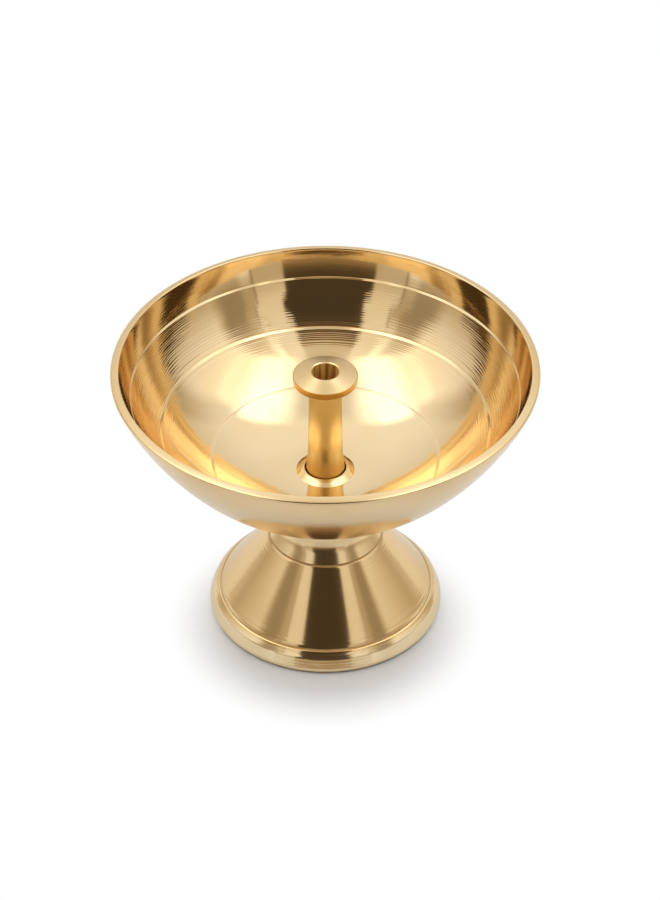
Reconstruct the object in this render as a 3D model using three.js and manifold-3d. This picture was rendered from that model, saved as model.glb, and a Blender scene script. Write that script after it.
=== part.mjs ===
// Footed brass diya with a standing wick holder, in millimetres, +Z up.
// The origin is the middle of the circle that the foot stands on. Every piece is turned about the Z axis.
import * as THREE from 'three';
import Module from 'manifold-3d';
import { mergeVertices } from 'three/addons/utils/BufferGeometryUtils.js';

// Clearances
const slideGap = 0.3;              // round every spigot, shank and bush, on the radius
const endGap = 0.3;                // under a spigot that must not bottom out

// Pedestal: a hollow cone with a turned line and a rounded bead at its foot
const pedestalHeight = 21.5;       // rest face to the seat of the stem
const neckRadius = 13.8;           // the cone, carried up to the seat
const coneFootRadius = 25.5;       // the cone at the turned line
const coneFootHeight = 5.8;
const pedestalWall = 1.8;
const crownThickness = 4;
const rimLandHeight = 3;           // straight stretch inside, above the rest face
const beadOverhang = 2.85;         // widest circle of the foot, beyond the turned line
const beadHeight = 1.9;            // height of that widest circle
const beadShoulderInset = 0.8;     // the bead's shoulder, inside that circle
const beadShoulderHeight = 4.3;
const beadShoulderLean = THREE.MathUtils.degToRad(26);
const beadCrownHeight = 5.5;       // where the lines of the bead's top and shoulder meet
const contactInset = 0.95;         // the rest face ends this far inside the widest circle
const footLineWidth = 0.3;
const footLineDepth = 0.1;
const neckRoundHeight = 2.05;      // long rounding of the top edge, just under the joint
const neckRoundInset = 0.8;

// Joint between stem and pedestal
const registerRadius = 8;
const registerDepth = 1.5;

// Stem: in one piece with the bowl
const stemFootInset = 0.35;        // the stem is this much smaller than the pedestal at the joint
const stemChamfer = 0.3;
const waistRadius = 10.8;
const waistRise = 2.2;             // from where the cone would meet the waist, up to the waist
const floorHeight = 18.7;          // seat of the stem to the floor of the bowl
const stemBlendAngle = THREE.MathUtils.degToRad(13);   // where the stem runs into the bowl

// Bowl: a flat floor, then one arc up to the lip
const mouthRadius = 48;
const bowlDepth = 30.9;
const floorWall = 3.35;
const sideWall = 1.1;
const lipWall = 2.2;
const thinFrom = THREE.MathUtils.degToRad(14);         // the wall thins between these two slopes
const thinTo = THREE.MathUtils.degToRad(54);
const lipRounding = 0.35;
const ringFromLip = [7.4, 19.6, 34.5];                 // turned rings, measured down the wall
const ringWidth = 0.6;
const ringDepth = 0.1;
const floorMargin = 0.95;          // flat floor beyond the flange of the socket

// Wick holder: a tapered tube with a button on top
const wickBore = 3.2;              // radius
const tubeTopWall = 0.62;
const tubeMiddleWall = 0.82;
const tubeFootWall = 1.42;
const tubeLength = 32.2;
const flareHeight = 9.8;           // from the flange of the socket up to the end of the flare
const oilNotchWidth = 1.6;         // lets oil in under the foot of the tube
const oilNotchHeight = 1.2;
const headRadius = 7.6;
const headGrip = 2.3;              // how far the tube goes up into the head
const headCrown = 1.2;             // the head above the end of the tube
const headFall = 1;                // drop of the shallow cone on top
const headEdge = 0.55;             // upright band at the widest part
const headUndercut = 1.2;
const mouthChamfer = 0.35;
const mouthChamferDepth = 0.18;

// Socket: a flanged bush, closed below, with the threaded shank that holds everything together
const pocketDepth = 5.1;
const pocketFloor = 2;
const pocketChamfer = 0.15;
const socketWall = 0.7;
const flangeWidth = 1.33;
const flangeHeight = 0.9;
const flangeSlant = 0.95;          // run of the slanted edge, carried up to the top of the flange
const shankRadius = 3;
const shankChamfer = 0.5;
const shankPastNut = 1.5;

// Seal, washer and nut
const sealThickness = 1;
const washerRadius = 6;
const washerThickness = 1.6;
const nutAcrossFlats = 10;
const nutHeight = 5;
const nutChamfer = 0.45;

// Faces round each piece
const wideTurns = 60;
const slimTurns = 40;
const wallSteps = 13;
const curveSteps = 4;

// Levels and radii that follow from the sizes above
const floorLevel = pedestalHeight + floorHeight;
const flangeLevel = floorLevel + flangeHeight;
const pocketLevel = flangeLevel - pocketDepth;
const shoulderLevel = pocketLevel - pocketFloor;
const sealLevel = shoulderLevel - sealThickness;
const crownLevel = pedestalHeight - crownThickness;
const washerLevel = crownLevel - washerThickness;
const nutLevel = washerLevel - nutHeight;
const tubeTopLevel = pocketLevel + tubeLength;
const tubeFootRadius = wickBore + tubeFootWall;
const tubeTopRadius = wickBore + tubeTopWall;
const pocketRadius = tubeFootRadius + slideGap;
const socketRadius = pocketRadius + socketWall;
const flangeRadius = socketRadius + flangeWidth;
const shankHole = shankRadius + slideGap;
const bushHole = socketRadius + slideGap;
const floorRadius = flangeRadius + floorMargin;
const coneRun = (coneFootRadius - neckRadius) / (pedestalHeight - coneFootHeight);

const brass = (color, roughness) => new THREE.MeshStandardMaterial({ color, roughness, metalness: 1 });
const fibre = () => new THREE.MeshStandardMaterial({ color: 0x7a2f22, roughness: 0.8, metalness: 0 });

// A point of an outline: distance from the axis and height
const at = (radius, height) => new THREE.Vector2(radius, height);

// A bend from one point to another that leaves towards a third and arrives from it, without its first point
function bend(from, corner, to) {
  return new THREE.QuadraticBezierCurve(from, corner, to).getPoints(curveSteps).slice(1);
}

// A corner taken off with a small round, between its two neighbours
function rounded(before, corner, after, size) {
  const start = corner.clone().add(before.clone().sub(corner).setLength(size));
  const end = corner.clone().add(after.clone().sub(corner).setLength(size));
  return [start, new THREE.QuadraticBezierCurve(start, corner, end).getPoint(0.5), end];
}

// Turns an outline about the Z axis. The outline runs up the outside and down the inside.
function turn(outline, turns) {
  return new THREE.LatheGeometry(outline, turns).rotateX(Math.PI / 2);
}

function piece(name, geometry, material) {
  const mesh = new THREE.Mesh(geometry, material);
  mesh.name = name;
  return mesh;
}

// Cuts and overlaps of solids
const wasm = await Module();
wasm.setup();

function toSolid(geometry) {
  const bare = geometry.clone();
  bare.deleteAttribute('normal');
  bare.deleteAttribute('uv');
  const merged = mergeVertices(bare);
  return new wasm.Manifold(new wasm.Mesh({
    numProp: 3,
    vertProperties: new Float32Array(merged.attributes.position.array),
    triVerts: new Uint32Array(merged.index.array),
  }));
}

function toGeometry(solid) {
  const mesh = solid.getMesh();
  const geometry = new THREE.BufferGeometry();
  geometry.setAttribute('position', new THREE.BufferAttribute(mesh.vertProperties, 3));
  geometry.setIndex(new THREE.BufferAttribute(mesh.triVerts, 1));
  geometry.computeVertexNormals();
  return geometry;
}

// The inside of the bowl is an arc that starts level at the edge of the floor and ends at the lip
const bowlArc = ((mouthRadius - floorRadius) ** 2 + bowlDepth ** 2) / (2 * bowlDepth);
const lipAngle = Math.acos(1 - bowlDepth / bowlArc);

function inside(angle) {
  return at(floorRadius + bowlArc * Math.sin(angle), floorLevel + bowlArc * (1 - Math.cos(angle)));
}

function wallAt(angle) {
  const nearFloor = 1 - THREE.MathUtils.smoothstep(angle, thinFrom, thinTo);
  const nearLip = Math.max(0, angle - thinTo) / (lipAngle - thinTo);
  return sideWall + (floorWall - sideWall) * nearFloor + (lipWall - sideWall) * nearLip ** 2;
}

function offInside(angle, distance) {
  return inside(angle).add(at(distance * Math.sin(angle), -distance * Math.cos(angle)));
}

function outside(angle) {
  return offInside(angle, wallAt(angle));
}

function steps(from, to, count) {
  return Array.from({ length: count + 1 }, (_, i) => from + (to - from) * i / count);
}

function bowlOutline() {
  const footRadius = neckRadius - stemFootInset;
  const chamferTop = at(footRadius, pedestalHeight + stemChamfer);
  const waistCorner = at(waistRadius, chamferTop.y + (footRadius - waistRadius) / coneRun);
  const waist = at(waistRadius, waistCorner.y + waistRise);
  const coneEnd = at(waistRadius + waistRise * Math.sin(Math.atan(coneRun)), 0);
  coneEnd.y = waistCorner.y - (coneEnd.x - waistRadius) / coneRun;
  const blend = outside(stemBlendAngle);
  const blendCorner = at(waistRadius, blend.y - (blend.x - waistRadius) * Math.tan(stemBlendAngle));
  const outer = steps(stemBlendAngle, lipAngle, wallSteps).slice(1, -1).map(outside);
  const lipOuter = outside(lipAngle);
  const lipInner = inside(lipAngle);

  // Down the inside, with a V cut at each ring
  const ringHalf = ringWidth / 2 / bowlArc;
  const ringAngles = ringFromLip.map((distance) => lipAngle - distance / bowlArc);
  const stops = [lipAngle, ...ringAngles, 0];
  const inner = [];
  stops.slice(1).forEach((stop, i) => {
    const upper = stops[i] - (i > 0 ? ringHalf : 0);
    const lower = stop + (stop > 0 ? ringHalf : 0);
    const count = Math.max(2, Math.round(wallSteps * (upper - lower) / lipAngle));
    inner.push(...steps(upper, lower, count).slice(i > 0 ? 0 : 1).map(inside));
    if (stop > 0) inner.push(offInside(stop, ringDepth));
  });

  const start = at(shankHole, pedestalHeight - registerDepth);
  return [
    start,
    at(registerRadius, pedestalHeight - registerDepth),
    at(registerRadius, pedestalHeight),
    at(footRadius - stemChamfer, pedestalHeight),
    chamferTop,
    coneEnd,
    ...bend(coneEnd, waistCorner, waist),
    ...bend(waist, blendCorner, blend),
    ...outer,
    ...rounded(outer[outer.length - 1], lipOuter, lipInner, lipRounding),
    ...rounded(lipOuter, lipInner, inner[0], lipRounding),
    ...inner,
    at(bushHole, floorLevel),
    at(bushHole, sealLevel),
    at(shankHole, sealLevel),
    start,
  ];
}

function pedestalOutline() {
  const cone = (height) => neckRadius + (pedestalHeight - height) * coneRun;
  const wallRun = pedestalWall * Math.hypot(1, coneRun);
  const landRadius = cone(rimLandHeight) - wallRun;
  const widest = at(coneFootRadius + beadOverhang, beadHeight);
  const contact = at(widest.x - contactInset, 0);
  const shoulder = at(widest.x - beadShoulderInset, beadShoulderHeight);
  const lean = Math.tan(beadShoulderLean);
  const sideCorner = at(widest.x, shoulder.y - beadShoulderInset / lean);
  const crownCorner = at(shoulder.x - (beadCrownHeight - shoulder.y) * lean, beadCrownHeight);
  const line = at(coneFootRadius - footLineDepth, coneFootHeight);
  const lineFoot = at(coneFootRadius + footLineWidth / 2, coneFootHeight);
  const lineTop = at(cone(coneFootHeight + footLineWidth), coneFootHeight + footLineWidth);
  const coneEnd = at(cone(pedestalHeight - neckRoundHeight), pedestalHeight - neckRoundHeight);
  const neckTop = at(neckRadius - neckRoundInset, pedestalHeight);
  const start = at(landRadius, 0);
  return [
    start,
    contact,
    ...bend(contact, at(widest.x, 0), widest),
    ...bend(widest, sideCorner, shoulder),
    ...bend(shoulder, crownCorner, lineFoot),
    line,
    lineTop,
    coneEnd,
    ...bend(coneEnd, at(neckRadius, pedestalHeight), neckTop),
    at(registerRadius + slideGap, pedestalHeight),
    at(registerRadius + slideGap, pedestalHeight - registerDepth - endGap),
    at(shankHole, pedestalHeight - registerDepth - endGap),
    at(shankHole, crownLevel),
    at(cone(crownLevel) - wallRun, crownLevel),
    at(landRadius, rimLandHeight),
    start,
  ];
}

function socketOutline() {
  const flangeEdge = at(flangeRadius, floorLevel);
  const flangeTop = at(pocketRadius + pocketChamfer, flangeLevel);
  const shankEnd = nutLevel - shankPastNut;
  return [
    at(0, shankEnd),
    at(shankRadius - shankChamfer, shankEnd),
    at(shankRadius, shankEnd + shankChamfer),
    at(shankRadius, shoulderLevel),
    at(socketRadius, shoulderLevel),
    at(socketRadius, floorLevel),
    flangeEdge,
    ...bend(flangeEdge, at(flangeRadius - flangeSlant, flangeLevel), flangeTop),
    at(pocketRadius, flangeLevel - pocketChamfer),
    at(pocketRadius, pocketLevel),
    at(0, pocketLevel),
  ];
}

function tubeOutline() {
  const flareFoot = at(tubeFootRadius, flangeLevel);
  const flareEnd = at(wickBore + tubeMiddleWall, flangeLevel + flareHeight);
  const flareCorner = at(flareEnd.x, flangeLevel + flareHeight / 2);
  const start = at(wickBore, pocketLevel);
  return [
    start,
    at(tubeFootRadius, pocketLevel),
    flareFoot,
    ...bend(flareFoot, flareCorner, flareEnd),
    at(tubeTopRadius, tubeTopLevel - headGrip),
    at(tubeTopRadius, tubeTopLevel),
    at(wickBore, tubeTopLevel),
    start,
  ];
}

// Two crossed notches under the foot of the tube
function wickTube() {
  let tube = toSolid(turn(tubeOutline(), slimTurns));
  for (const quarter of [0, Math.PI / 2]) {
    const slot = new THREE.BoxGeometry(2 * pocketRadius, oilNotchWidth, 2 * oilNotchHeight);
    tube = tube.subtract(toSolid(slot.rotateZ(quarter).translate(0, 0, pocketLevel)));
  }
  return toGeometry(tube);
}

function headOutline() {
  const underside = tubeTopLevel - headGrip;
  const topLevel = tubeTopLevel + headCrown;
  const edgeTop = at(headRadius, topLevel - headFall);
  const edgeFoot = at(headRadius, edgeTop.y - headEdge);
  const undersideEdge = at(headRadius - headUndercut, underside);
  const socketTop = at(tubeTopRadius + slideGap, tubeTopLevel);
  const start = at(socketTop.x, underside);
  return [
    start,
    undersideEdge,
    ...bend(undersideEdge, at(headRadius, underside + headUndercut), edgeFoot),
    edgeTop,
    at(wickBore + mouthChamfer, topLevel),
    at(wickBore, topLevel - mouthChamferDepth),
    at(wickBore, tubeTopLevel),
    socketTop,
    start,
  ];
}

function ringOutline(innerRadius, outerRadius, bottom, top) {
  const start = at(innerRadius, bottom);
  return [start, at(outerRadius, bottom), at(outerRadius, top), at(innerRadius, top), start];
}

// The nut is a hexagon with its corners turned off at both ends
function hexNut() {
  const cornerRadius = nutAcrossFlats / 2 / Math.cos(Math.PI / 6);
  const corners = steps(0, 2 * Math.PI, 6).slice(1).map((turned) => {
    return at(cornerRadius * Math.cos(turned), cornerRadius * Math.sin(turned));
  });
  const section = new THREE.Shape(corners);
  section.holes.push(new THREE.Path().absarc(0, 0, shankHole, 0, 2 * Math.PI));
  const block = new THREE.ExtrudeGeometry(section, {
    depth: nutHeight,
    bevelEnabled: false,
    curveSegments: slimTurns / 2,
  });
  const faceRadius = nutAcrossFlats / 2;
  const bulge = at(cornerRadius + nutChamfer, 0);
  const blank = turn([
    at(0, 0),
    at(faceRadius, 0),
    at(bulge.x, nutChamfer),
    at(bulge.x, nutHeight - nutChamfer),
    at(faceRadius, nutHeight),
    at(0, nutHeight),
  ], wideTurns);
  return toGeometry(toSolid(block).intersect(toSolid(blank))).translate(0, 0, nutLevel);
}

const sealOutline = ringOutline(shankHole, socketRadius, sealLevel, shoulderLevel);
const washerOutline = ringOutline(shankHole, washerRadius, washerLevel, crownLevel);

const diya = new THREE.Group();

diya.add(piece('pedestal', turn(pedestalOutline(), wideTurns), brass(0xcfa864, 0.24)));
diya.add(piece('bowl', turn(bowlOutline(), wideTurns), brass(0xd9b26c, 0.22)));
diya.add(piece('seal_washer', turn(sealOutline, slimTurns), fibre()));
diya.add(piece('wick_socket', turn(socketOutline(), slimTurns), brass(0xdcb878, 0.22)));
diya.add(piece('clamp_washer', turn(washerOutline, slimTurns), brass(0xb8914f, 0.4)));
diya.add(piece('hex_nut', hexNut(), brass(0xb8914f, 0.4)));

// The wick holder lifts out of its socket as one
const wickHolder = new THREE.Group();
wickHolder.add(piece('wick_tube', wickTube(), brass(0xd49a3c, 0.28)));
wickHolder.add(piece('wick_head', turn(headOutline(), slimTurns), brass(0xdab57a, 0.24)));
diya.add(wickHolder);

export default diya;
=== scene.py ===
"""A footed brass diya with a standing wick holder, in metres, +Z up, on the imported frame."""
import math

import bmesh
import bpy
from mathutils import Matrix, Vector


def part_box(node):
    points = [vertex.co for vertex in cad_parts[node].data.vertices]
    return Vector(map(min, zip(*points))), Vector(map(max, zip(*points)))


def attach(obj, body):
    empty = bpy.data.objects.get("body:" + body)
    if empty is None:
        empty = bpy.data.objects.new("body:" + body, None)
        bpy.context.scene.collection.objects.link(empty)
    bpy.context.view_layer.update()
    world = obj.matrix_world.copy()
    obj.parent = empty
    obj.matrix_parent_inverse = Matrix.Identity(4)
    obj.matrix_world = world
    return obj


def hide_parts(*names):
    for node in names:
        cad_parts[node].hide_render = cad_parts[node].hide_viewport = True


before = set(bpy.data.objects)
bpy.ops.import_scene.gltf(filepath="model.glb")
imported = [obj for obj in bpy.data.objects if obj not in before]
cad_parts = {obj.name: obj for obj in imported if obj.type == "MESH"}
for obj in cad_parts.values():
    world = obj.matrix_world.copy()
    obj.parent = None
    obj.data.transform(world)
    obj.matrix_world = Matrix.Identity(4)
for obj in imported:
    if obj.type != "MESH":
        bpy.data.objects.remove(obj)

scene = bpy.context.scene
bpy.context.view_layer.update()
mm = 0.001

# Pedestal
# A cast brass cone, hollow below, turned and polished outside and left rough-turned inside.
# It stands on a rounded bead, and the shank of the socket draws it up against the stem of the bowl.


class Value:
    """An output socket in an expression. Each operator adds the Math node that it stands for."""

    def __init__(self, graph, socket):
        self.graph = graph
        self.socket = socket

    def __add__(self, other):
        return self.graph.math("ADD", self, other)

    def __radd__(self, other):
        return self.graph.math("ADD", other, self)

    def __sub__(self, other):
        return self.graph.math("SUBTRACT", self, other)

    def __rsub__(self, other):
        return self.graph.math("SUBTRACT", other, self)

    def __mul__(self, other):
        return self.graph.math("MULTIPLY", self, other)

    def __rmul__(self, other):
        return self.graph.math("MULTIPLY", other, self)

    def __truediv__(self, other):
        return self.graph.math("DIVIDE", self, other)

    def __rtruediv__(self, other):
        return self.graph.math("DIVIDE", other, self)

    def __pow__(self, other):
        return self.graph.math("POWER", self, other)

    def __abs__(self):
        return self.graph.math("ABSOLUTE", self)


class Graph:
    """A node tree that is written as expressions."""

    def __init__(self, tree):
        self.tree = tree

    def node(self, kind, settings=None, inputs=None, output=0):
        """Adds a node: its settings first, then the values or links of its sockets, by name or place."""
        made = self.tree.nodes.new(kind)
        for name, value in (settings or {}).items():
            if name == "stops":
                ramp = made.color_ramp
                while len(ramp.elements) < len(value):
                    ramp.elements.new(1)
                for element, (place, level) in zip(ramp.elements, value):
                    element.position = place
                    element.color = (level, level, level, 1)
            else:
                setattr(made, name, value)
        for name, value in (inputs or {}).items():
            for entry in value if isinstance(value, list) else [value]:
                if isinstance(entry, Value):
                    self.tree.links.new(entry.socket, made.inputs[name])
                else:
                    made.inputs[name].default_value = entry
        return Value(self, made.outputs[output]) if made.outputs else None

    def math(self, operation, *values):
        return self.node("ShaderNodeMath", {"operation": operation}, dict(enumerate(values)))

    def vector(self, operation, *values, output=0):
        return self.node("ShaderNodeVectorMath", {"operation": operation}, dict(enumerate(values)), output)

    def scaled(self, vector, amount):
        sizes = {"Vector": vector, "Scale": amount}
        return self.node("ShaderNodeVectorMath", {"operation": "SCALE"}, sizes)

    def parts(self, vector):
        return [self.node("ShaderNodeSeparateXYZ", inputs={"Vector": vector}, output=i) for i in range(3)]

    def joined(self, x, y, z):
        return self.node("ShaderNodeCombineXYZ", inputs={"X": x, "Y": y, "Z": z})

    def mixed(self, share, first, second):
        """A colour between two: share 0 is the first."""
        return self.node("ShaderNodeMix", {"data_type": "RGBA"}, {0: share, 6: first, 7: second}, 2)

    def eased(self, value, low, high):
        """0 below low, 1 above high, with a smooth rise between."""
        sizes = {"Value": value, "From Min": low, "From Max": high}
        return self.node("ShaderNodeMapRange", {"interpolation_type": "SMOOTHSTEP"}, sizes)

    def between(self, value, low, high, soft):
        """1 between low and high, and 0 outside, with soft edges."""
        rise = self.eased(value, low - soft / 2, low + soft / 2)
        return rise * (1 - self.eased(value, high - soft / 2, high + soft / 2))

    def noise(self, place, scale, detail=2.0):
        return self.node("ShaderNodeTexNoise", inputs={"Vector": place, "Scale": scale, "Detail": detail})


class Turning(Graph):
    """A Geometry Nodes tree that turns an outline in the XZ plane about the Z axis."""

    path_radius = 10 * mm
    seam = 1e-6
    weld = 2e-6
    shortest_edge = 1e-7
    sharpest_bend = math.radians(19)

    def __init__(self, name, sizes):
        super().__init__(bpy.data.node_groups.new(name, "GeometryNodeTree"))
        self.sizes = sizes
        kinds = {float: "NodeSocketFloat", int: "NodeSocketInt", bpy.types.Material: "NodeSocketMaterial"}
        interface = self.tree.interface
        interface.new_socket(name="Piece", in_out="OUTPUT", socket_type="NodeSocketGeometry")
        interface.new_socket(name="Blank", in_out="INPUT", socket_type="NodeSocketGeometry")
        for size, value in sizes.items():
            interface.new_socket(name=size, in_out="INPUT", socket_type=kinds[type(value)])
        self.blank = self.node("NodeGroupInput")
        self.given = {size: self.node("NodeGroupInput", output=i + 1) for i, size in enumerate(sizes)}

    def turned(self, outline):
        section = self.node("GeometryNodeMeshToCurve", inputs={"Mesh": outline})
        laid = self.node("GeometryNodeTransform", inputs={
            "Geometry": section,
            "Translation": (-self.path_radius, 0, 0),
            "Rotation": (math.pi / 2, 0, 0),
        })
        path = self.node("GeometryNodeCurvePrimitiveCircle", {"mode": "RADIUS"}, {
            "Resolution": self.given["Turns"],
            "Radius": self.path_radius,
        })
        swept = self.node("GeometryNodeCurveToMesh", inputs={"Curve": path, "Profile Curve": laid})
        return self.node("GeometryNodeMergeByDistance", inputs={"Geometry": swept, "Distance": self.seam})

    def moved(self, piece, rule):
        """Gives every point of a piece the place that a rule makes of its own place."""
        place = self.node("GeometryNodeInputPosition")
        new_place = self.joined(*rule(*self.parts(place)))
        return self.node("GeometryNodeSetPosition", inputs={"Geometry": piece, "Position": new_place})

    def made(self, name, piece, outline=()):
        """Ends the tree, runs it on an outline of (radius, height) points and keeps the plain mesh."""
        real = self.node("GeometryNodeRealizeInstances", inputs={"Geometry": piece})
        finish = self.given["Finish"]
        done = self.node("GeometryNodeSetMaterial", inputs={"Geometry": real, "Material": finish})
        self.node("NodeGroupOutput", inputs={"Piece": done})

        places = [(point[0], 0, point[1]) for point in outline]
        start = bpy.data.meshes.new(name + "_outline")
        start.from_pydata(places, [(i, i + 1) for i in range(len(places) - 1)], [])
        source = bpy.data.objects.new(name + "_outline", start)
        scene.collection.objects.link(source)
        modifier = source.modifiers.new(name, "NODES")
        modifier.node_group = self.tree
        for item in self.tree.interface.items_tree:
            if item.name in self.sizes:
                modifier[item.identifier] = self.sizes[item.name]
        bpy.context.view_layer.update()
        seen = source.evaluated_get(bpy.context.evaluated_depsgraph_get())
        mesh = bpy.data.meshes.new_from_object(seen)
        bpy.data.objects.remove(source)

        shell = bmesh.new()
        shell.from_mesh(mesh)
        bmesh.ops.remove_doubles(shell, verts=shell.verts, dist=self.weld)
        bmesh.ops.dissolve_degenerate(shell, edges=shell.edges, dist=self.shortest_edge)
        bmesh.ops.recalc_face_normals(shell, faces=shell.faces)
        shell.to_mesh(mesh)
        shell.free()
        mesh.shade_smooth()
        mesh.set_sharp_from_angle(angle=self.sharpest_bend)
        piece = bpy.data.objects.new(name, mesh)
        scene.collection.objects.link(piece)
        return piece


class Finish(Graph):
    """A surface laid out about the Z axis, which the nodes read from Object coordinates."""

    def __init__(self, name):
        self.material = bpy.data.materials.new(name)
        self.material.use_nodes = True
        super().__init__(self.material.node_tree)
        self.tree.nodes.clear()
        self.place = self.node("ShaderNodeTexCoord", output=3)
        self.x, self.y, self.z = self.parts(self.place)
        self.radius = self.math("SQRT", self.x * self.x + self.y * self.y)

    def tool_marks(self, along, pitch, slope):
        """The scallops of a round-nosed tool: the surface leans from -slope to +slope in each feed."""
        flat = self.joined(along, 0, 0)
        drift = self.noise(flat, 0.21 / pitch) * 3
        feed = self.math("FRACT", along / pitch + drift)
        uneven = self.noise(flat, 0.9 / pitch, 3.0) - 0.5
        worn = self.eased(self.noise(self.place, 55.0, 3.0), 0.25, 0.75) * 0.7 + 0.3
        return ((feed * 2 - 1) * slope + uneven * (3 * slope)) * worn

    def hairlines(self, along, slope):
        """Polishing scratches that run round the piece."""
        turned = self.math("ARCTAN2", self.y, self.x)
        fine = self.joined(along * 7000, self.math("SINE", turned) * 7, self.math("COSINE", turned) * 7)
        return (self.noise(fine, 1.0, 2.0) - 0.5) * (2 * slope)

    def tilted(self, slope):
        """The normal, leant along the outline by a slope."""
        normal = self.node("ShaderNodeNewGeometry", output=1)
        around = self.vector("CROSS_PRODUCT", (0, 0, 1), self.place)
        along = self.vector("NORMALIZE", self.vector("CROSS_PRODUCT", around, normal))
        return self.vector("NORMALIZE", self.vector("ADD", normal, self.scaled(along, slope)))

    def blotched(self, scale, pale, deep):
        """Uneven colour, as handled brass has it: paler where it is rubbed, deeper where it tarnishes."""
        patch = self.noise(self.place, scale, 4.0)
        return self.mixed(self.eased(patch, 0.35, 0.7), pale, deep)

    def metal(self, colour, roughness, slope, metal_share=1.0):
        """Brass: all metal where the last value is 1, less metal where it is less, under painted shade or
        painted bore gold.
        """
        shader = self.node("ShaderNodeBsdfPrincipled", inputs={
            "Base Color": colour,
            "Metallic": metal_share,
            "Roughness": roughness,
            "Normal": self.tilted(slope),
        })
        self.node("ShaderNodeOutputMaterial", inputs={"Surface": shader})
        return self.material


def bend(start, corner, end, steps=12):
    """Points of a bend that leaves start towards the corner and arrives at end from it, start left out."""
    start, corner, end = Vector(start), Vector(corner), Vector(end)
    shares = [(i + 1) / steps for i in range(steps)]
    return [start * (1 - t) ** 2 + corner * (2 * t * (1 - t)) + end * t * t for t in shares]


def stretch(start, end, steps):
    """Points of a straight stretch, start left out."""
    start, end = Vector(start), Vector(end)
    return [start.lerp(end, (i + 1) / steps) for i in range(steps)]


def turned_piece(name, outline, turns, finish):
    """A piece turned from an outline that runs up the outside and down the inside."""
    lathe = Turning(name, {"Turns": turns, "Finish": finish})
    return lathe.made(name, lathe.turned(lathe.blank), outline)


foot_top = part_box("pedestal")[1]

seat_level = foot_top.z
neck_radius = 13.8 * mm
cone_foot_height = 5.45 * mm
bead_overhang = 2.6 * mm
bead_height = 1.6 * mm
bead_shoulder_inset = 0.95 * mm
bead_shoulder_height = 3.95 * mm
bead_shoulder_lean = math.tan(math.radians(22))
bead_crown_inset = 2.15 * mm
bead_crown_height = 5.35 * mm
bead_crown_round = 0.22 * mm
contact_inset = 0.95 * mm
foot_line_width = 0.14 * mm
foot_line_depth = 0.05 * mm
neck_round_height = 0.45 * mm
neck_round_inset = 0.4 * mm
pedestal_wall = 1.8 * mm
crown_thickness = 4 * mm
crown_fillet = 1.6 * mm
rim_land_height = 3 * mm
register_radius = 8 * mm
register_depth = 1.5 * mm
slide_gap = 0.3 * mm
shank_radius = 3 * mm
shank_hole = shank_radius + slide_gap

cone_foot_radius = foot_top.x - bead_overhang
cone_run = (cone_foot_radius - neck_radius) / (seat_level - cone_foot_height)


def cone(height):
    return (neck_radius + (seat_level - height) * cone_run, height)


def rounded_off(corner, towards, distance):
    """The point where a corner's rounding meets one of its two sides."""
    corner = Vector(corner)
    return corner + (Vector(towards) - corner).normalized() * distance


wall_run = pedestal_wall * math.hypot(1, cone_run)
land_radius = cone(rim_land_height)[0] - wall_run
widest = (foot_top.x, bead_height)
contact = (foot_top.x - contact_inset, 0)
shoulder = (foot_top.x - bead_shoulder_inset, bead_shoulder_height)
side_corner = (foot_top.x, bead_shoulder_height - bead_shoulder_inset / bead_shoulder_lean)
crown_corner = (foot_top.x - bead_crown_inset, bead_crown_height)
line_foot = (cone_foot_radius + foot_line_width / 2, cone_foot_height)
ledge_end = rounded_off(crown_corner, line_foot, bead_crown_round)
crown_foot = rounded_off(crown_corner, shoulder, bead_crown_round)
line_bottom = (cone_foot_radius - foot_line_depth, cone_foot_height)
line_top = cone(cone_foot_height + foot_line_width)
cone_end = cone(seat_level - neck_round_height)
neck_top = (neck_radius - neck_round_inset, seat_level)
crown_level = seat_level - crown_thickness
crown_inside = (cone(crown_level)[0] - wall_run, crown_level)
land_top = (land_radius, rim_land_height)
fillet_foot = (crown_inside[0] - crown_fillet, crown_level)
fillet_end = rounded_off(crown_inside, land_top, crown_fillet)
register_foot = seat_level - register_depth - slide_gap

pedestal_outline = [
    (land_radius, 0),
    contact,
    *bend(contact, (widest[0], 0), widest),
    *bend(widest, side_corner, shoulder),
    *stretch(shoulder, crown_foot, 6),
    *bend(crown_foot, crown_corner, ledge_end, 10),
    line_foot,
    line_bottom,
    line_top,
    *stretch(line_top, cone_end, 24),
    *bend(cone_end, (neck_radius, seat_level), neck_top, 16),
    (register_radius + slide_gap, seat_level),
    (register_radius + slide_gap, register_foot),
    (shank_hole, register_foot),
    (shank_hole, crown_level),
    *stretch((shank_hole, crown_level), fillet_foot, 6),
    *bend(fillet_foot, crown_inside, fillet_end, 8),
    *stretch(fillet_end, land_top, 12),
    (land_radius, 0),
]

brass_pale = (0.88, 0.67, 0.38, 1)
brass_deep = (0.86, 0.62, 0.31, 1)
brass_foot = (0.88, 0.635, 0.33, 1)
# A paler, cooler brass for the middle of the bowl's floor.
brass_floor_middle = (0.88, 0.69, 0.41, 1)
brass_dull = (0.52, 0.36, 0.17, 1)
brass_tarnished = (0.30, 0.19, 0.08, 1)
# Painted highlight: a paler, brighter brass for the bead.
bead_highlight_brass = (0.97, 0.79, 0.50, 1)
# Painted shade: a brown for the groove at the foot line and the joint under the stem.
groove_shade_brown = (0.42, 0.30, 0.16, 1)


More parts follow.
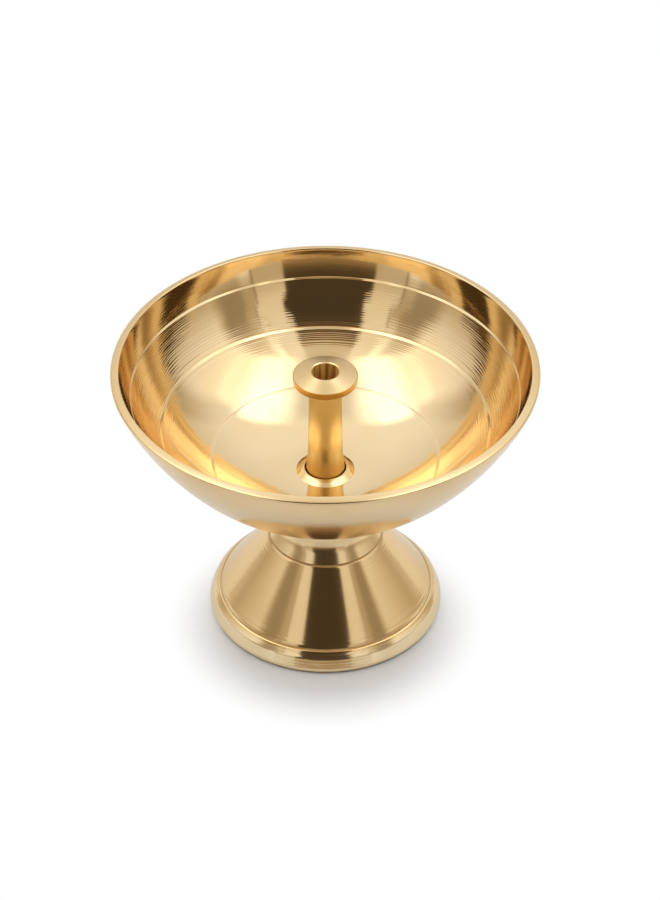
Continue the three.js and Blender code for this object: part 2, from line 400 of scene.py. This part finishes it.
def pedestal_finish():
    brass = Finish("pedestal_brass")
    along = brass.z * math.hypot(1, cone_run)
    from_cone = (neck_radius + (seat_level - brass.z) * cone_run) - brass.radius
    inside = brass.eased(from_cone, 0.8 * mm, 1.2 * mm)
    near_line = 1 - brass.eased(brass.z, 6 * mm, 8.5 * mm)
    near_neck = brass.eased(brass.z, seat_level - 3.2 * mm, seat_level - 1 * mm)
    on_bead = 1 - brass.eased(brass.z, 3.9 * mm, 5 * mm)
    marked = 0.12 + near_line * (1 - on_bead * 0.9) + near_neck * 0.6
    outside_slope = brass.tool_marks(along, 0.8 * mm, 0.07) * marked
    inside_slope = brass.tool_marks(brass.z - brass.radius, 0.9 * mm, 0.09)
    slope = outside_slope * (1 - inside) + inside_slope * inside + brass.hairlines(along, 0.02)

    # Painted highlight: the bead is given a paler, brighter brass than the cone above it.
    polished = brass.mixed(on_bead, brass.blotched(70.0, brass_foot, brass_deep), bead_highlight_brass)
    raw = brass.blotched(160.0, brass_dull, brass_tarnished)
    # Painted shade: the foot-line groove and the joint under the stem turn brown, rougher and less metal.
    groove_and_joint_shade = brass.between(brass.z, cone_foot_height - 0.02 * mm, line_top[1], 0.04 * mm)
    groove_and_joint_shade = groove_and_joint_shade + brass.eased(brass.z, seat_level - 0.3 * mm, seat_level - 0.1 * mm)
    groove_and_joint_shade = groove_and_joint_shade * (1 - inside)
    colour = brass.mixed(inside, brass.mixed(groove_and_joint_shade * 0.6, polished, groove_shade_brown), raw)
    roughness = 0.08 + 0.07 * brass.noise(brass.place, 90.0, 3.0) + inside * 0.25 + groove_and_joint_shade * 0.2
    return brass.metal(colour, roughness, slope, 1 - groove_and_joint_shade * 0.4)


def fitted(piece, body, node):
    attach(piece, body)
    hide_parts(node)


pedestal = turned_piece("foot_turned", pedestal_outline, 288, pedestal_finish())
fitted(pedestal, "lamp", "pedestal")

# Bowl
# One casting with its waisted stem: a flat floor, then one arc up to a lip cut square to the wall.
# It is turned inside and out, with three fine rings cut inside and tool marks left between them.

bowl_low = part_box("bowl")[0]
socket_low, socket_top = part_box("wick_socket")

flange_height = 0.9 * mm
floor_level = socket_top.z - flange_height
floor_margin = 0.95 * mm
floor_radius = socket_top.x + floor_margin
mouth_radius = 48 * mm
bowl_depth = 30.9 * mm
bowl_arc = ((mouth_radius - floor_radius) ** 2 + bowl_depth ** 2) / (2 * bowl_depth)
lip_angle = math.acos(1 - bowl_depth / bowl_arc)
ring_from_lip = [7.4 * mm, 19.6 * mm, 34.5 * mm]
ring_half = 0.3 * mm
ring_depth = 0.2 * mm
wick_bore = 3.2 * mm
tube_foot_radius = wick_bore + 1.42 * mm
pocket_radius = tube_foot_radius + slide_gap
socket_wall = 0.7 * mm
socket_radius = pocket_radius + socket_wall


def bowl_finish():
    brass = Finish("bowl_brass")
    out_from_floor = brass.math("MAXIMUM", brass.radius - floor_radius, 0.0)
    below_centre = floor_level + bowl_arc - brass.z
    angle = brass.math("ARCTAN2", out_from_floor, below_centre)
    from_lip = (lip_angle - angle) * bowl_arc
    from_centre = brass.math("SQRT", out_from_floor * out_from_floor + below_centre * below_centre)
    off_wall = from_centre - bowl_arc
    outside = brass.eased(off_wall, 0.4 * mm, 0.7 * mm)
    lip = 1 - brass.eased(from_lip, 0.1 * mm, 0.3 * mm)
    stem = 1 - brass.eased(brass.radius, 13 * mm, 17 * mm)
    under = outside * (1 - lip)

    first, second = ring_from_lip[:2]
    coarse = brass.between(from_lip, first - 0.5 * mm, second + 4.5 * mm, 6 * mm)
    near_second = 1 - brass.eased(abs(from_lip - second), 1.5 * mm, 4 * mm)
    inside_slope = brass.tool_marks(from_lip, 0.55 * mm, 0.07) * (0.1 + coarse + near_second * 0.8)
    along_outside = brass.z - brass.radius * stem
    outside_slope = brass.tool_marks(along_outside, 0.6 * mm, 0.012)
    slope = inside_slope * (1 - under) + outside_slope * under + brass.hairlines(from_lip, 0.018)

    # Paler and cooler towards the middle of the bowl's floor, with fine extra bumps there.
    floor_middle = (1 - brass.eased(brass.radius, 24 * mm, 36 * mm)) * (1 - outside)
    floor_middle_colour = brass.blotched(110.0, brass_floor_middle, brass_pale)
    polished = brass.mixed(floor_middle, brass.blotched(42.0, brass_pale, brass_deep), floor_middle_colour)
    slope = slope + (brass.noise(brass.place, 170.0, 3.0) - 0.5) * (0.045 * floor_middle)
    roughness = 0.05 + 0.05 * brass.noise(brass.place, 60.0, 3.0) + under * 0.08 + lip * 0.12
    return brass.metal(polished, roughness, slope)


class BowlTurning(Turning):
    """The bowl's outline as strips, each a line of points that a rule lays out, turned and welded."""

    def __init__(self, name, sizes):
        super().__init__(name, sizes)
        self.strips = []

    def sine(self, angle):
        return self.math("SINE", angle)

    def cosine(self, angle):
        return self.math("COSINE", angle)

    def off_inside(self, angle, distance):
        """A point at an angle of the inner arc, a distance out from it."""
        reach = self.given["Arc radius"] + distance
        centre = self.given["Floor level"] + self.given["Arc radius"]
        return self.given["Floor radius"] + reach * self.sine(angle), centre - reach * self.cosine(angle)

    def outside(self, angle):
        """The outer wall: thick at the floor, thin half way up, thick again at the lip."""
        side, thin_to = self.given["Side wall"], self.given["Thin to"]
        thinning = 1 - self.eased(angle, self.given["Thin from"], thin_to)
        above = self.math("MAXIMUM", angle - thin_to, 0.0)
        thickening = (above / (self.given["Lip angle"] - thin_to)) ** 2
        at_floor = (self.given["Floor wall"] - side) * thinning
        at_lip = (self.given["Lip wall"] - side) * thickening
        return self.off_inside(angle, side + at_floor + at_lip)

    def strip(self, steps, rule):
        line = self.node("GeometryNodeMeshLine", inputs={"Count": steps + 1})
        radius, height = rule(self.node("GeometryNodeInputIndex") / steps)
        moved = {"Geometry": line, "Position": self.joined(radius, 0, height)}
        self.strips.append(self.node("GeometryNodeSetPosition", inputs=moved))

    def straight(self, steps, start, end):
        self.strip(steps, lambda share: [a + (b - a) * share for a, b in zip(start, end)])

    def bent(self, steps, start, corner, end):
        def rule(share):
            rest = 1 - share
            sides = zip(start, corner, end)
            return [a * (rest * rest) + b * (2 * share * rest) + c * (share * share) for a, b, c in sides]
        self.strip(steps, rule)

    def arc(self, steps, start, end, wall):
        self.strip(steps, lambda share: wall(start + (end - start) * share))

    def outline(self):
        given = self.given
        lip_angle, arc_radius = given["Lip angle"], given["Arc radius"]
        seat, foot, waist_radius = given["Seat level"], given["Stem foot"], given["Waist radius"]
        chamfer, cone_run = given["Stem chamfer"], given["Cone run"]

        spigot_low = seat - given["Register depth"]
        for start, end in (
            ((given["Shank hole"], spigot_low), (given["Register"], spigot_low)),
            ((given["Register"], spigot_low), (given["Register"], seat)),
            ((given["Register"], seat), (foot - chamfer, seat)),
            ((foot - chamfer, seat), (foot, seat + chamfer)),
        ):
            self.straight(1, start, end)

        waist_corner = (waist_radius, seat + chamfer + (foot - waist_radius) / cone_run)
        waist = (waist_radius, waist_corner[1] + given["Waist rise"])
        end_radius = waist_radius + given["Waist rise"] * self.sine(self.math("ARCTANGENT", cone_run))
        cone_end = (end_radius, waist_corner[1] - (end_radius - waist_radius) / cone_run)
        blend = self.outside(given["Stem blend"])
        blend_rise = (blend[0] - waist_radius) * self.math("TANGENT", given["Stem blend"])
        self.straight(4, (foot, seat + chamfer), cone_end)
        self.bent(16, cone_end, waist_corner, waist)
        self.bent(24, waist, (waist_radius, blend[1] - blend_rise), blend)

        rounding = given["Lip rounding"]
        outer_rounding = given["Outer rounding"]
        last_angle = lip_angle - rounding / arc_radius
        last_outside = lip_angle - outer_rounding / arc_radius
        self.arc(96, given["Stem blend"], last_outside, self.outside)
        lip_outer = self.off_inside(lip_angle, given["Lip wall"])
        lip_inner = self.off_inside(lip_angle, 0)
        round_outer = self.off_inside(lip_angle, given["Lip wall"] - outer_rounding)
        round_inner = self.off_inside(lip_angle, rounding)
        self.bent(12, self.outside(last_outside), lip_outer, round_outer)
        self.straight(2, round_outer, round_inner)
        self.bent(6, round_inner, lip_inner, self.off_inside(last_angle, 0))

        half = given["Ring half width"] / arc_radius
        ring_names = ("First ring", "Second ring", "Third ring")
        rings = [lip_angle - given[name] / arc_radius for name in ring_names]
        above = last_angle
        for steps, ring, share in zip((16, 22, 28), rings, (1, 0.85, 0.5)):
            reach = half * share
            self.arc(steps, above, ring + reach, lambda angle: self.off_inside(angle, 0))
            depth = given["Ring depth"] * share ** 2
            groove = self.off_inside(ring + reach * given["Ring lean"], depth)
            above = ring - reach
            self.straight(1, self.off_inside(ring + reach, 0), groove)
            self.straight(1, groove, self.off_inside(above, 0))
        self.arc(26, above, 0.0, lambda angle: self.off_inside(angle, 0))

        floor, seal, bush = given["Floor level"], given["Seal level"], given["Bush hole"]
        self.straight(4, (given["Floor radius"], floor), (bush, floor))
        self.straight(1, (bush, floor), (bush, seal))
        self.straight(1, (bush, seal), (given["Shank hole"], seal))
        self.straight(1, (given["Shank hole"], seal), (given["Shank hole"], spigot_low))
        return self.node("GeometryNodeJoinGeometry", inputs={"Geometry": self.strips})


bowl_lathe = BowlTurning("bowl turned on the lathe", {
    "Turns": 300,
    "Finish": bowl_finish(),
    "Floor level": floor_level,
    "Floor radius": floor_radius,
    "Arc radius": bowl_arc,
    "Lip angle": lip_angle,
    "Floor wall": 3.35 * mm,
    "Side wall": 1.1 * mm,
    "Lip wall": 2.2 * mm,
    "Thin from": math.radians(14),
    "Thin to": math.radians(54),
    "Lip rounding": 0.35 * mm,
    "Outer rounding": 0.8 * mm,
    "First ring": ring_from_lip[0],
    "Second ring": ring_from_lip[1],
    "Third ring": ring_from_lip[2],
    "Ring half width": ring_half,
    "Ring depth": ring_depth,
    "Ring lean": 0.7,
    "Seat level": seat_level,
    "Stem foot": neck_radius - 0.3 * mm,
    "Stem chamfer": 0.15 * mm,
    "Cone run": cone_run,
    "Waist radius": 10.8 * mm,
    "Waist rise": 2.2 * mm,
    "Stem blend": math.radians(13),
    "Register": register_radius,
    "Register depth": seat_level - bowl_low.z,
    "Shank hole": shank_hole,
    "Bush hole": socket_radius + slide_gap,
    "Seal level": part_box("seal_washer")[0].z,
})
bowl = bowl_lathe.made("oil_bowl", bowl_lathe.turned(bowl_lathe.outline()))
fitted(bowl, "lamp", "bowl")

# Wick socket
# A flanged brass bush, closed below, whose threaded shank goes down through the bowl and the pedestal.
# Its low domed flange is the bright ring round the foot of the wick tube.

pocket_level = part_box("wick_tube")[0].z
shoulder_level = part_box("seal_washer")[1].z
shank_chamfer = 0.5 * mm
pocket_chamfer = 0.15 * mm
flange_slant = 1.4 * mm
nut_low, nut_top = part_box("hex_nut")
thread_pitch = 1 * mm
thread_depth = 0.45 * mm
thread_top = nut_top.z + 2.5 * mm

flange_edge = (socket_top.x, floor_level)
flange_corner = (socket_top.x - flange_slant, socket_top.z)
flange_crest = (pocket_radius + pocket_chamfer, socket_top.z)
shank_end = (shank_radius, socket_low.z + shank_chamfer)
socket_outline = [
    (0, socket_low.z),
    (shank_radius - shank_chamfer, socket_low.z),
    *stretch((shank_radius - shank_chamfer, socket_low.z), shank_end, 4),
    *stretch(shank_end, (shank_radius, thread_top), 90),
    (shank_radius, shoulder_level),
    (socket_radius, shoulder_level),
    (socket_radius, floor_level),
    flange_edge,
    *bend(flange_edge, flange_corner, flange_crest, 16),
    (pocket_radius, socket_top.z - pocket_chamfer),
    (pocket_radius, pocket_level),
    (0, pocket_level),
]


def threaded(lathe):
    """A rule that cuts a V thread into a shank about the Z axis, run out at its top."""
    def rule(x, y, z):
        pitch, shank, top = lathe.given["Pitch"], lathe.given["Shank radius"], lathe.given["Thread top"]
        radius = lathe.math("SQRT", x * x + y * y)
        turn = lathe.math("ARCTAN2", y, x) / (2 * math.pi)
        share = lathe.math("FRACT", z / pitch - turn)
        groove = 1 - abs(share * 2 - 1)
        on_shank = lathe.eased(radius, shank - 0.5 * mm, shank)
        on_shank = on_shank * (1 - lathe.eased(radius, shank + 0.1 * mm, shank + 0.2 * mm))
        run_out = 1 - lathe.eased(z, top - pitch, top)
        cut = groove * lathe.given["Thread depth"] * on_shank * run_out
        kept = 1 - cut / lathe.math("MAXIMUM", radius, 1 * mm)
        return x * kept, y * kept, z
    return rule


def plain_finish(name, pale, deep, roughness, pitch=0.3 * mm, slope=0.008):
    brass = Finish(name)
    along = brass.z + brass.radius
    leant = brass.tool_marks(along, pitch, slope) + brass.hairlines(along, 0.02)
    colour = brass.blotched(140.0, pale, deep)
    return brass.metal(colour, roughness + 0.07 * brass.noise(brass.place, 160.0, 3.0), leant)


socket_lathe = Turning("socket turned and threaded", {
    "Turns": 144,
    "Finish": plain_finish("socket_brass", brass_pale, brass_deep, 0.14, 0.3 * mm, 0.05),
    "Pitch": thread_pitch,
    "Shank radius": shank_radius,
    "Thread depth": thread_depth,
    "Thread top": thread_top,
})
socket_blank = socket_lathe.turned(socket_lathe.blank)
socket_threaded = socket_lathe.moved(socket_blank, threaded(socket_lathe))
socket = socket_lathe.made("socket_bush", socket_threaded, socket_outline)
fitted(socket, "lamp", "wick_socket")

# Wick tube
# A drawn brass tube, flared at its foot, standing loose in the socket so that it lifts out.
# Two crossed notches under its foot let the oil in.

tube_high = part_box("wick_tube")[1]
tube_top_radius = wick_bore + 0.62 * mm
tube_middle_radius = wick_bore + 0.82 * mm
flare_height = 9.8 * mm
head_grip = 2.3 * mm
notch_width = 1.6 * mm
notch_height = 1.2 * mm

flare_foot = (tube_foot_radius, socket_top.z)
flare_end = (tube_middle_radius, socket_top.z + flare_height)
tube_neck = (tube_top_radius, tube_high.z - head_grip)
tube_outline = [
    (wick_bore, pocket_level),
    (tube_foot_radius, pocket_level),
    flare_foot,
    *bend(flare_foot, (tube_middle_radius, socket_top.z + flare_height / 2), flare_end, 20),
    *stretch(flare_end, tube_neck, 16),
    (tube_top_radius, tube_high.z),
    (wick_bore, tube_high.z),
    (wick_bore, pocket_level),
]

tube_pale = (0.82, 0.60, 0.26, 1)
tube_deep = (0.78, 0.52, 0.20, 1)
# Painted reflection for the wick bore: gold and dark streaks stand in for the light bounced inside it.
bore_bounce_gold = (0.98, 0.66, 0.20, 1)
bore_streak_shade = (0.46, 0.22, 0.04, 1)
streaks_round = 3.2
streaks_along = 60
# The bore is made mostly non-metal, so that its painted gold shows.
bore_matte_share = 0.8


def painted_bore_streaks(brass):
    """Painted reflection in the wick bore: gold and dark streaks up and down stand in for the light bounced
    inside it.
    """
    turned = brass.math("ARCTAN2", brass.y, brass.x)
    across = [brass.math(side, turned) * streaks_round for side in ("COSINE", "SINE")]
    upright = brass.joined(*across, brass.z * streaks_along)
    return brass.mixed(brass.eased(brass.noise(upright, 1.0), 0.42, 0.6), bore_bounce_gold, bore_streak_shade)


def tube_finish():
    brass = Finish("tube_brass")
    bore = 1 - brass.eased(brass.radius, wick_bore + 0.05 * mm, wick_bore + 0.2 * mm)
    slope = brass.tool_marks(brass.z, 0.4 * mm, 0.012) + brass.hairlines(brass.z, 0.03)
    slope = slope + brass.tool_marks(brass.z, 0.35 * mm, 0.6) * bore
    drawn = brass.blotched(120.0, tube_pale, tube_deep)
    roughness = 0.36 + 0.08 * brass.noise(brass.place, 160.0, 3.0)
    # The bore takes the painted reflection streaks.
    return brass.metal(brass.mixed(bore, drawn, painted_bore_streaks(brass)), roughness, slope, 1 - bore * bore_matte_share)


tube_lathe = Turning("tube turned and notched", {
    "Turns": 144,
    "Finish": tube_finish(),
    "Notch width": notch_width,
    "Notch height": notch_height,
})
spans = [2 * pocket_radius, tube_lathe.given["Notch width"]]
notches = []
for width, depth in (spans, spans[::-1]):
    cutter_size = tube_lathe.joined(width, depth, tube_lathe.given["Notch height"] * 2)
    cutter = tube_lathe.node("GeometryNodeMeshCube", inputs={"Size": cutter_size})
    notches.append(tube_lathe.node("GeometryNodeTransform", inputs={
        "Geometry": cutter,
        "Translation": (0, 0, pocket_level),
    }))
notched = tube_lathe.node("GeometryNodeMeshBoolean", {"operation": "DIFFERENCE"}, {
    "Mesh 1": tube_lathe.turned(tube_lathe.blank),
    "Mesh 2": notches,
})
tube = tube_lathe.made("wick_pipe", notched, tube_outline)
fitted(tube, "wick_holder", "wick_tube")

# Wick head
# The brass button on top of the tube, turned to a shallow cone above and drawn in below.
# It is pressed on the tube, and the wick comes up through its bore.

head_low, head_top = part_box("wick_head")
head_fall = 1.25 * mm
head_edge = 1.35 * mm
head_undercut = 1.2 * mm
head_underside_rise = 0.6 * mm
mouth_chamfer = 0.35 * mm
mouth_chamfer_depth = 0.18 * mm
head_pale = (0.84, 0.62, 0.33, 1)
head_deep = (0.80, 0.56, 0.26, 1)
# Painted shade: a deep gold for the edge of the head's rim.
head_rim_shade_gold = (0.50, 0.26, 0.05, 1)

edge_top = (head_top.x, head_top.z - head_fall)
edge_foot = (head_top.x, edge_top[1] - head_edge)
underside = (head_top.x - head_undercut, head_low.z)
bore_mouth = (wick_bore + mouth_chamfer, head_top.z)
head_outline = [
    (tube_top_radius, head_low.z),
    underside,
    *bend(underside, (head_top.x, head_low.z + head_underside_rise), edge_foot, 12),
    edge_top,
    *stretch(edge_top, bore_mouth, 8),
    (wick_bore, head_top.z - mouth_chamfer_depth),
    (wick_bore, tube_high.z),
    (tube_top_radius, tube_high.z),
    (tube_top_radius, head_low.z),
]


def head_finish():
    brass = Finish("head_brass")
    along = brass.z + brass.radius
    bore = 1 - brass.eased(brass.radius, wick_bore + 0.02 * mm, wick_bore + 0.1 * mm)
    # Painted shade: the rim's edge is coloured a deep gold, standing in for how the light falls off over
    # it.
    edge = brass.eased(brass.radius, head_top.x - 0.3 * mm, head_top.x - 0.02 * mm)
    slope = brass.tool_marks(along, 0.3 * mm, 0.01) + brass.hairlines(along, 0.03)
    slope = slope + brass.tool_marks(brass.z, 0.35 * mm, 0.6) * bore
    # The bore takes the painted reflection streaks.
    faced = brass.mixed(bore, brass.blotched(140.0, head_pale, head_deep), painted_bore_streaks(brass))
    roughness = 0.2 + 0.08 * brass.noise(brass.place, 160.0, 3.0) + bore * 0.12
    return brass.metal(brass.mixed(edge, faced, head_rim_shade_gold), roughness, slope, 1 - bore * bore_matte_share)


head = turned_piece("wick_button", head_outline, 144, head_finish())
fitted(head, "wick_holder", "wick_head")

# Clamp washer and nut
# A punched brass washer under the crown of the pedestal, and the turned and milled nut that draws up
# the socket, the bowl and the pedestal. They are seen only from below.

washer_low, washer_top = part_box("clamp_washer")
die_roll = 0.3 * mm
hole_side = (shank_hole, washer_low.z + die_roll)
hole_face = (shank_hole + die_roll, washer_low.z)
rim_face = (washer_top.x - die_roll, washer_low.z)
rim_side = (washer_top.x, washer_low.z + die_roll)
washer_outline = [
    hole_side,
    *bend(hole_side, (shank_hole, washer_low.z), hole_face, 5),
    *stretch(hole_face, rim_face, 4),
    *bend(rim_face, (washer_top.x, washer_low.z), rim_side, 5),
    (washer_top.x, washer_top.z),
    (shank_hole, washer_top.z),
    hole_side,
]
washer_finish = plain_finish("washer_brass", brass_deep, brass_dull, 0.26, 0.5 * mm, 0.012)
washer = turned_piece("punched_washer", washer_outline, 96, washer_finish)
fitted(washer, "lamp", "clamp_washer")

across_flats = 10 * mm
corner_radius = nut_top.x
nut_chamfer = 0.45 * mm
nut_bore = shank_radius + 0.05 * mm
countersink = 0.4 * mm
nut_face_land = 0.4 * mm
flat_radius = across_flats / 2
blank_radius = corner_radius + nut_chamfer
nut_outline = [
    (nut_bore, nut_low.z + countersink),
    (nut_bore + countersink, nut_low.z),
    (flat_radius - nut_face_land, nut_low.z),
    (flat_radius, nut_low.z),
    *stretch((flat_radius, nut_low.z), (blank_radius, nut_low.z + nut_chamfer), 12),
    *stretch((blank_radius, nut_low.z + nut_chamfer), (blank_radius, nut_top.z - nut_chamfer), 6),
    *stretch((blank_radius, nut_top.z - nut_chamfer), (flat_radius, nut_top.z), 12),
    (nut_bore + countersink, nut_top.z),
    (nut_bore, nut_top.z - countersink),
    (nut_bore, nut_low.z + countersink),
]


def milled(lathe):
    """A rule that mills six flats on a turned blank, with the corners left at the blank's chamfer."""
    def rule(x, y, z):
        radius = lathe.math("SQRT", x * x + y * y)
        sixth = math.pi / 3
        off_flat = lathe.math("FLOORED_MODULO", lathe.math("ARCTAN2", y, x), sixth) - sixth / 2
        reach = lathe.given["Across flats"] / 2 / lathe.math("COSINE", off_flat)
        kept = lathe.math("MINIMUM", radius, reach) / radius
        return x * kept, y * kept, z
    return rule


nut_lathe = Turning("nut turned and milled", {
    "Turns": 96,
    "Finish": plain_finish("nut_brass", brass_deep, brass_dull, 0.24, 0.4 * mm, 0.015),
    "Across flats": across_flats,
})
nut_milled = nut_lathe.moved(nut_lathe.turned(nut_lathe.blank), milled(nut_lathe))
nut = nut_lathe.made("milled_nut", nut_milled, nut_outline)
fitted(nut, "lamp", "hex_nut")

# Seal washer
# A ring of pressed fibre under the shoulder of the socket, where the shank leaves the bowl.
# The nut squeezes it, so that it keeps the oil in the bowl, and it is hidden.

fibre_red = (0.20, 0.035, 0.02, 1)
fibre_brown = (0.11, 0.03, 0.02, 1)


def fibre_finish():
    fibre = Finish("pressed_fibre")
    strands = fibre.noise(fibre.joined(fibre.x * 3, fibre.y * 9, fibre.z * 20), 400.0, 4.0)
    shader = fibre.node("ShaderNodeBsdfPrincipled", inputs={
        "Base Color": fibre.mixed(fibre.eased(strands, 0.3, 0.7), fibre_red, fibre_brown),
        "Roughness": 0.6 + 0.2 * strands,
        "Normal": fibre.tilted((strands - 0.5) * 0.2),
    })
    fibre.node("ShaderNodeOutputMaterial", inputs={"Surface": shader})
    return fibre.material


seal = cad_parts["seal_washer"]
seal.data.materials.clear()
seal.data.materials.append(fibre_finish())

# Studio
# A white floor, left out under the foot so that its hollow is lit from below, inside a light tent.
# The tent is open in front, where the camera stands, with a flap each side of the opening, folded
# corners, pale walls and two strips of light a side above its roof.

floor_half = 3.0
shade_centre = -9 * mm
shade_inner = 22.5 * mm
shade_outer = 39.5 * mm
floor_paint = 0.9
floor_bluish = (0.875, 0.905, 0.94, 1)
front_shade = 0.16
middle_shade = 0.1
glossy_floor = 0.1
glossy_tent = 0.015
opening_turn = 2.3
opening_lean = 3.6
opening_half = 25.1
opening_top = 55.5
flap_end = 43.5
bright_fold_end = 50.0
fold_end = 67.0
side_end = 114.0
corner_end = 130.0
inner_strip_light = 2.2
outer_strip_light = 1.45
warm_opening = (1, 0.68, 0.36, 1)
warm_shade = (1.04, 0.88, 0.66, 1)
degrees = 180 / math.pi

corners = [(-floor_half, -floor_half, 0), (floor_half, -floor_half, 0)]
corners += [(-x, -y, 0) for x, y, z in corners]
floor_mesh = bpy.data.meshes.new("floor")
floor_mesh.from_pydata(corners, [], [(0, 1, 2, 3)])
floor = bpy.data.objects.new("floor", floor_mesh)
scene.collection.objects.link(floor)

ground = Finish("floor_paint")
off_centre = ground.y - shade_centre
from_shade = ground.math("SQRT", ground.x * ground.x + off_centre * off_centre)
camera_ray = ground.node("ShaderNodeLightPath", output=0)
glossy_ray = ground.node("ShaderNodeLightPath", output=3)
transmission_ray = ground.node("ShaderNodeLightPath", output=6)
seen_white = camera_ray + transmission_ray + glossy_ray * glossy_floor
turned_off = abs(ground.math("ARCTAN2", ground.x, 0 - ground.y)) * degrees
towards_front = 1 - ground.eased(turned_off, 60.0, 90.0)
towards_front = towards_front * ground.eased(ground.radius, 48 * mm, 66 * mm)
towards_middle = 1 - ground.eased(turned_off, 10.0, 32.0)
towards_middle = towards_middle * ground.eased(ground.radius, 60 * mm, 110 * mm)
paint = floor_paint - towards_front * front_shade - towards_middle * middle_shade
near_foot = 1 - ground.eased(ground.radius, 36 * mm, 60 * mm)
painted = ground.node("ShaderNodeBsdfPrincipled", inputs={
    "Base Color": ground.mixed(near_foot, ground.joined(paint, paint, paint), floor_bluish),
    "Roughness": 0.5,
})
white = ground.node("ShaderNodeEmission", inputs={"Color": (1, 1, 1, 1), "Strength": 1.0})
clear = ground.node("ShaderNodeBsdfTransparent")
below = ground.node("ShaderNodeNewGeometry", output=6)
away = ground.eased(from_shade, shade_inner, shade_outer) * seen_white
above = ground.node("ShaderNodeMixShader", inputs={0: away, 1: painted, 2: white})
under_foot = 1 - ground.eased(ground.radius, land_radius - 0.4 * mm, land_radius - 0.2 * mm)
left_out = ground.math("MAXIMUM", below, under_foot)
both = ground.node("ShaderNodeMixShader", inputs={0: left_out, 1: above, 2: clear})
ground.node("ShaderNodeOutputMaterial", inputs={"Surface": both})
floor.data.materials.append(ground.material)

world = bpy.data.worlds.new("studio")
scene.world = world
world.use_nodes = True
world.node_tree.nodes.clear()
tent = Graph(world.node_tree)
dx, dy, dz = tent.parts(tent.node("ShaderNodeTexCoord", output=0))
turn = tent.math("ARCTAN2", dx, 0 - dy) * degrees
lift = tent.math("ARCSINE", dz) * degrees
# The opening stands a little to the left of the middle, and bulges to the right half way up.
towards_right = tent.between(lift, 25.0, 37.0, 7.0)
off_opening = abs(turn + opening_turn - opening_lean * towards_right)
off_front = abs(turn)


def by_height(*stops):
    """A brightness that changes with the height above the horizon, from (degrees, level) stops."""
    placed = [(height / 90, level) for height, level in stops]
    ramp = tent.node("ShaderNodeValToRGB", {"stops": placed}, {"Fac": lift / 90})
    return tent.parts(ramp)[0]


def joined_at(edge, soft, before, after):
    """One stretch of the tent's wall, then the next one round."""
    share = tent.eased(edge[0], edge[1] - soft / 2, edge[1] + soft / 2)
    return before * (1 - share) + after * share


opening = by_height((0, 0.42), (4, 0.28), (7, 0.14), (12, 0.06), (40, 0.05), (49, 0.11), (56, 0.28))
flap = by_height((0, 0.55), (10, 0.55), (16, 0.65), (24, 0.82), (50, 0.92), (66, 1.1))
fold = by_height((0, 0.72), (6, 0.45), (12, 0.32), (30, 0.33), (36, 0.46), (42, 0.62), (48, 0.8), (60, 1.1))
side = by_height((0, 0.8), (6, 0.5), (12, 0.63), (20, 0.8), (30, 1.0), (42, 1.2), (60, 1.2))
corner = by_height((0, 0.65), (6, 0.52), (18, 0.48), (26, 0.62), (36, 0.82), (45, 0.98), (60, 1.15))
back = by_height((0, 0.75), (21, 0.76), (30, 0.85), (45, 1.0), (66, 1.06), (75, 0.9), (84, 0.6))

above_opening = tent.eased(lift, opening_top, opening_top + 4.5)
in_front = opening * (1 - above_opening) + flap * above_opening * 0.7
front = joined_at((off_opening, opening_half), 1.6, in_front, flap)
in_opening = (1 - tent.eased(off_opening, opening_half - 0.9, opening_half + 0.9)) * (1 - above_opening)
seam = tent.between(off_opening, 42.2, 43.6, 0.4) * (1 - tent.eased(lift, 43.0, 50.0))
front = front * (1 - 0.65 * seam)
folded = joined_at((off_opening, bright_fold_end), 5.0, fold * 1.5, fold)
walls = joined_at((off_opening, flap_end), 3.0, front, folded)
walls = joined_at((off_opening, fold_end), 11.0, walls, side)
walls = joined_at((off_front, side_end), 14.0, walls, corner)
walls = joined_at((off_front, corner_end), 10.0, walls, back)

high = tent.math("MAXIMUM", dz, 0.05)
across_roof = dx / high
along_roof = dy / high
off_ridge = abs(across_roof)
roof = 0.65 + 0.4 * tent.eased(off_ridge, 0.1, 0.3) + 0.18 * tent.eased(along_roof, -0.05, 0.2)
inner_strip = tent.eased(off_ridge, 0.14, 0.4) * (1 - tent.eased(off_ridge, 0.52, 0.85))
inner_strip = inner_strip * tent.between(along_roof, -0.36, 0.52, 0.12)
outer_strip = tent.between(off_ridge, 0.76, 1.08, 0.2) * tent.between(along_roof, -0.38, 0.42, 0.16)
overhead = tent.eased(lift, 60.0, 72.0)
level = walls * (1 - overhead) + roof * overhead
level = level * (1 - outer_strip) + outer_strip_light * outer_strip
level = level * (1 - inner_strip) + inner_strip_light * inner_strip
glossy = tent.node("ShaderNodeLightPath", output=3)
in_shade = (1 - tent.eased(level, 0.3, 1.0)) * glossy
hue = tent.mixed(in_opening, tent.mixed(in_shade, (1, 1, 1, 1), warm_shade), warm_opening)

light = tent.node("ShaderNodeBackground", inputs={"Color": hue, "Strength": level})
plain = tent.node("ShaderNodeBackground", inputs={"Color": (1, 1, 1, 1), "Strength": 1.0})
seen_plain = tent.node("ShaderNodeLightPath", output=0) + tent.node("ShaderNodeLightPath", output=6)
seen_plain = seen_plain + glossy * glossy_tent
backdrop = tent.node("ShaderNodeMixShader", inputs={0: seen_plain, 1: light, 2: plain})
tent.node("ShaderNodeOutputWorld", inputs={"Surface": backdrop})

camera_lens = 118.05
camera_place = (1.09 * mm, -549.08 * mm, 480.18 * mm)
camera_tilt = math.radians(51.666)
camera_data = bpy.data.cameras.new("camera")
camera_data.lens = camera_lens
camera_data.clip_start = 0.01
camera = bpy.data.objects.new("camera", camera_data)
camera.location = camera_place
camera.rotation_euler = (camera_tilt, 0, 0)
scene.collection.objects.link(camera)
scene.camera = camera
scene.view_settings.view_transform = "Standard"
